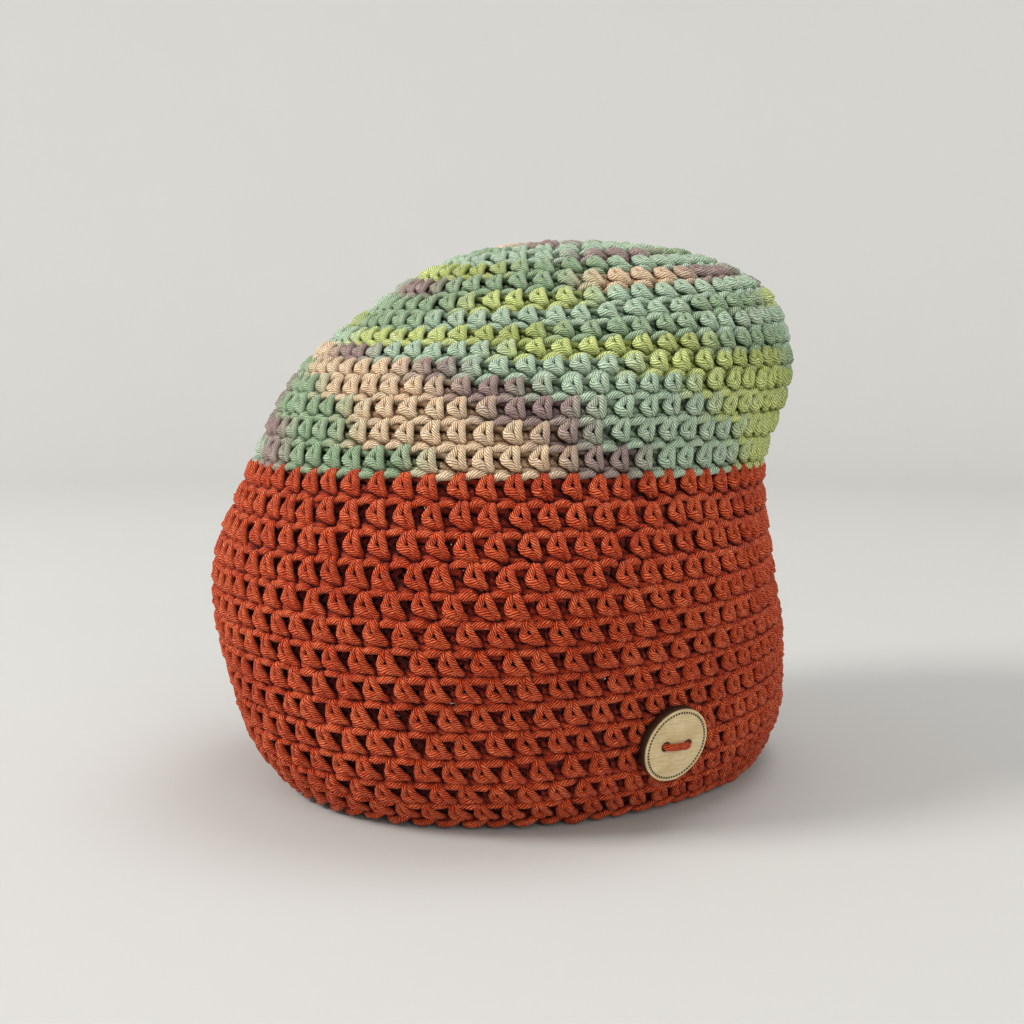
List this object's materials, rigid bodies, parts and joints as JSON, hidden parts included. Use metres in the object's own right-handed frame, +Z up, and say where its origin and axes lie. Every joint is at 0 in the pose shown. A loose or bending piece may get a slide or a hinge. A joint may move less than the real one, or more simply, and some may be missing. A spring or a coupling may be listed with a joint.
{
  "type": "crochet beanie",
  "caption": "Slouchy crochet beanie: hollow rust wall with a flat rim, a variegated crown that leans back, and a wooden button sewn on by one strand.",
  "frame": {"origin": "middle of the hat's box, on the surface that its rim rests on", "axes": "+Z up from the rim to the crown, -Y to the forehead, +X to the wearer's left side, which carries the button"},
  "size_m": [0.1966, 0.2205, 0.1908],
  "materials": {
    "rust_yarn": "matt plied yarn, crocheted",
    "variegated_yarn": "matt plied yarn, dyed cream, mauve, sage and lime along its length",
    "birch": "pale sanded plywood with scorched cut edges"
  },
  "bodies": {
    "root": {"orange_body": "rust_yarn", "variegated_crown": "variegated_yarn", "button": "birch", "button_yarn": "rust_yarn"}
  },
  "joints": []
}
